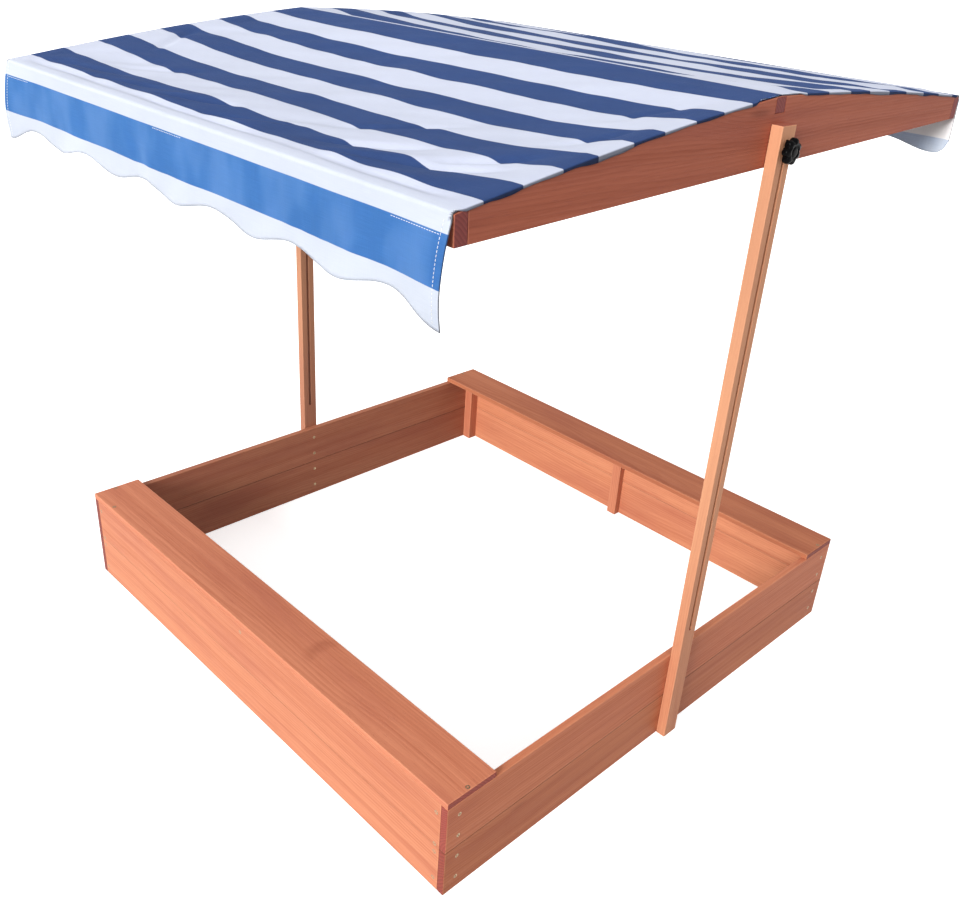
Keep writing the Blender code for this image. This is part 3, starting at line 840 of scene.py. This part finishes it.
def screw_head(bm, place, facing, turn):
    """A countersunk head with a cross recess. facing is the unit vector out of the wood."""
    facing = Vector(facing)
    basis = facing.to_track_quat("X", "Z").to_matrix() @ Matrix.Rotation(turn, 3, "X")
    radii = (0.0003, 0.0006, 0.0009, 0.0012, 0.0015, 0.0018, 0.0021, 0.0024, 0.0030, 0.0036, SCREW_RADIUS)

    def add_ring(radius, height):
        """Vertices round the head; height(y, z) is how far out of the wood each one stands."""
        ring = []
        for k in range(SCREW_SIDES):
            angle = math.tau * k / SCREW_SIDES
            y, z = radius * math.cos(angle), radius * math.sin(angle)
            ring.append(bm.verts.new(Vector(place) + basis @ Vector((height(y, z), y, z))))
        return ring

    def crown(y, z):
        arm_a = smooth_down(RECESS_HALF, 0.0002, abs(y)) * smooth_down(RECESS_ARM, 0.0004, abs(z))
        arm_b = smooth_down(RECESS_HALF, 0.0002, abs(z)) * smooth_down(RECESS_ARM, 0.0004, abs(y))
        return DOME * (1 - (y * y + z * z) / SCREW_RADIUS ** 2) - RECESS_DEEP * max(arm_a, arm_b)

    rings = [add_ring(radius, crown) for radius in radii]
    rings.append(add_ring(SCREW_RADIUS * 1.01, lambda y, z: -0.0004))
    rings.append(add_ring(SCREW_RADIUS * 0.5, lambda y, z: -SCREW_DEEP))
    centre = bm.verts.new(Vector(place) + basis @ Vector((DOME - RECESS_DEEP, 0, 0)))
    for k in range(SCREW_SIDES):
        bm.faces.new((centre, rings[0][k], rings[0][(k + 1) % SCREW_SIDES]))
    join_rings(bm, rings)
    bm.faces.new(rings[-1])


def make_screws(material):
    """Heads of the screws that are nodes of the CAD model."""
    draw = np.random.default_rng(5)
    for side, sign in (("left", -1), ("right", 1)):
        for row, facing in (("post", -sign), ("front", sign), ("back", sign)):
            names = [f"{side}_{row}_screw_{k}" for k in range(1, 5)]
            bm = bmesh.new()
            for name in names:
                low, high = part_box(name)
                face_x = high.x if facing > 0 else low.x
                place = (face_x, (low.y + high.y) / 2, (low.z + high.z) / 2)
                screw_head(bm, place, (facing, 0, 0), draw.uniform(0, math.pi))
            obj = add_mesh(f"{side}_{row}_screw_heads", bm, material, "sandbox")
            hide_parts(*names)


def make_extra_screws(material):
    """Heads of the screws that aren't CAD nodes: front and back walls, and the seats."""
    draw = np.random.default_rng(6)
    outer_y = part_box("front_plank_lower")[0].y
    end_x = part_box("right_plank_lower")[0].x - 0.011
    seat_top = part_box("front_seat")[1].z
    wall_places = [(x, z) for x in (-end_x, end_x) for z in (0.022, 0.082, 0.100, 0.170)]
    wall_places.append((0.006, 0.180))
    seat_places = ((-0.584, -0.5405), (-0.511, -0.5800), (0.583, -0.5400))
    for name, side in (("front", 1), ("back", -1)):
        bm = bmesh.new()
        for x, z in wall_places:
            screw_head(bm, (x, side * outer_y, z), (0, -side, 0), draw.uniform(0, math.pi))
        add_mesh(f"{name}_wall_screw_heads", bm, material, "sandbox")
        bm = bmesh.new()
        for x, y in seat_places:
            screw_head(bm, (x, side * y, seat_top), (0, 0, 1), draw.uniform(0, math.pi))
        add_mesh(f"{name}_seat_screw_heads", bm, material, "sandbox")


# ---------------------------------------------------------------- knobs

KNOB_LOBES = 7
KNOB_SIDES = 168
KNOB_HUB = 0.0100                       # radius of the hub at the back
KNOB_LIP = 0.0016                       # and how far it stands out


def knob_radius(angle, size, lobed):
    """Radius of a ring of the knob; lobed runs from 0 for round to 1 for fully lobed."""
    wave = 0.5 - 0.5 * math.cos(KNOB_LOBES * angle)
    return size * (1 - lobed * 0.21 * (1 - wave ** 0.62))


def make_knob(side, sign, material):
    low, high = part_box(f"{side}_star_knob")
    start, tip = (low.x, high.x) if sign > 0 else (high.x, low.x)
    centre_y, centre_z = (low.y + high.y) / 2, (low.z + high.z) / 2
    size = (high.z - low.z) / 2
    depth = abs(tip - start)
    hub, lip = KNOB_HUB, KNOB_LIP
    # depth, radius, how lobed
    outline = [(0.0, hub - 0.0006, 0), (0.0004, hub, 0),
               (lip - 0.0010, hub, 0), (lip - 0.0002, hub + 0.0008, 0),
               (lip, hub + 0.003, 0.3), (lip + 0.0001, size - 0.0030, 1), (lip + 0.0006, size - 0.0012, 1),
               (lip + 0.0018, size - 0.0002, 1), (lip + 0.0034, size, 1), (depth - 0.0052, size, 1),
               (depth - 0.0032, size - 0.0006, 1), (depth - 0.0018, size - 0.0020, 0.98),
               (depth - 0.0010, size - 0.0042, 0.9), (depth - 0.0005, size - 0.0065, 0.7),
               (depth - 0.0003, 0.0102, 0.2), (depth - 0.0012, 0.0094, 0), (depth - 0.0014, 0.0082, 0),
               (depth - 0.0006, 0.0070, 0), (depth, 0.0050, 0), (depth, 0.0020, 0)]
    bm = bmesh.new()
    rings = []
    for along, radius, lobed in outline:
        ring = []
        for k in range(KNOB_SIDES):
            angle = math.tau * k / KNOB_SIDES
            r = knob_radius(angle, radius, lobed)
            ring.append(bm.verts.new((start + sign * along, centre_y + r * math.cos(angle),
                                      centre_z + r * math.sin(angle))))
        rings.append(ring)
    join_rings(bm, rings)
    bm.faces.new(rings[0])
    bm.faces.new(rings[-1])
    obj = add_mesh(f"{side}_grip_knob", bm, material, f"{side}_knob")
    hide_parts(f"{side}_star_knob")


# ---------------------------------------------------------------- stage

def make_floor():
    graph = Graph("studio_floor")
    point = graph.add("ShaderNodeTexCoord").outputs["Object"]
    cloud = graph.noise(point, 1.5, 2.0)
    graph.set(graph.shader.inputs["Base Color"],
              graph.mix(cloud, (0.90, 0.90, 0.90, 1), (0.93, 0.93, 0.93, 1)))
    graph.shader.inputs["Roughness"].default_value = 0.9
    graph.shader.inputs["Specular IOR Level"].default_value = 0.0
    graph.shader.inputs["Emission Color"].default_value = (1, 1, 1, 1)
    graph.shader.inputs["Emission Strength"].default_value = FLOOR_GLOW
    bm = bmesh.new()
    bmesh.ops.create_grid(bm, x_segments=8, y_segments=8, size=STAGE_SIZE)
    floor = new_object("floor", bm, graph.material)
    floor.location.z = -0.0005
    floor.visible_diffuse = False       # its glow whitens it, but doesn't light the wood
    return floor


def make_backdrop():
    """A pale dome round the set, which lights nothing."""
    graph = Graph("studio_backdrop")
    haze = graph.noise(graph.add("ShaderNodeTexCoord").outputs["Object"], 0.05, 2.0)
    graph.set(graph.shader.inputs["Base Color"], (0, 0, 0, 1))
    graph.set(graph.shader.inputs["Emission Color"],
              graph.mix(haze, (1.0, 1.0, 1.0, 1), (0.99, 0.99, 1.0, 1)))
    graph.shader.inputs["Emission Strength"].default_value = BACKDROP_GLOW
    graph.shader.inputs["Specular IOR Level"].default_value = 0.0
    bm = bmesh.new()
    bmesh.ops.create_uvsphere(bm, u_segments=64, v_segments=32, radius=BACKDROP_RADIUS)
    backdrop = new_object("backdrop", bm, graph.material)
    for ray in ("diffuse", "glossy", "transmission", "shadow", "volume_scatter"):
        setattr(backdrop, "visible_" + ray, False)
    return backdrop


def make_light():
    """A soft key light, and a world that is brighter above than below."""
    world = bpy.data.worlds.new("studio")
    bpy.context.scene.world = world
    world.use_nodes = True
    tree = world.node_tree
    direction = tree.nodes.new("ShaderNodeTexCoord")
    parts = tree.nodes.new("ShaderNodeSeparateXYZ")
    strength = tree.nodes.new("ShaderNodeMapRange")
    strength.interpolation_type = "SMOOTHSTEP"
    for name, value in (("From Min", -0.25), ("From Max", 0.25),
                        ("To Min", GLOW_BELOW), ("To Max", GLOW_ABOVE)):
        strength.inputs[name].default_value = value
    tree.links.new(direction.outputs["Generated"], parts.inputs[0])
    tree.links.new(parts.outputs["Z"], strength.inputs["Value"])
    background = tree.nodes["Background"]
    background.inputs["Color"].default_value = (1, 1, 1, 1)
    tree.links.new(strength.outputs["Result"], background.inputs["Strength"])

    sun = bpy.data.lights.new("key", "SUN")
    sun.energy = KEY_STRENGTH
    sun.angle = KEY_SOFTNESS
    sun.color = KEY_COLOUR
    lamp = bpy.data.objects.new("key", sun)
    bpy.context.scene.collection.objects.link(lamp)
    lamp.rotation_euler = KEY_FROM.to_track_quat("Z", "Y").to_euler()


def make_camera():
    forward = Vector((-math.sin(CAMERA_AZIMUTH) * math.cos(CAMERA_ELEVATION),
                      math.cos(CAMERA_AZIMUTH) * math.cos(CAMERA_ELEVATION),
                      -math.sin(CAMERA_ELEVATION)))
    right = forward.cross(Vector((0, 0, 1))).normalized()
    up = right.cross(forward)
    turned_right = math.cos(CAMERA_ROLL) * right + math.sin(CAMERA_ROLL) * up
    turned_up = math.cos(CAMERA_ROLL) * up - math.sin(CAMERA_ROLL) * right
    matrix = Matrix((turned_right, turned_up, -forward)).transposed().to_4x4()
    matrix.translation = CAMERA_PLACE
    data = bpy.data.cameras.new("camera")
    data.sensor_width = 36
    data.lens = CAMERA_LENS
    camera = bpy.data.objects.new("camera", data)
    bpy.context.scene.collection.objects.link(camera)
    camera.matrix_world = matrix
    bpy.context.scene.camera = camera


# ---------------------------------------------------------------- build

dress_wood()
canopy = make_canopy()
stitching = make_stitching()
metal = steel()
for node_name in ("clamp_bolt", "inner_washer", "outer_washer"):
    for node_side in ("left", "right"):
        for material_slot in NODES[f"{node_side}_{node_name}"].material_slots:
            material_slot.material = metal
make_screws(metal)
make_extra_screws(metal)
plastic = black_plastic()
make_knob("left", -1, plastic)
make_knob("right", 1, plastic)
floor = make_floor()
backdrop = make_backdrop()
make_light()
make_camera()
bpy.context.scene.view_settings.view_transform = "Standard"
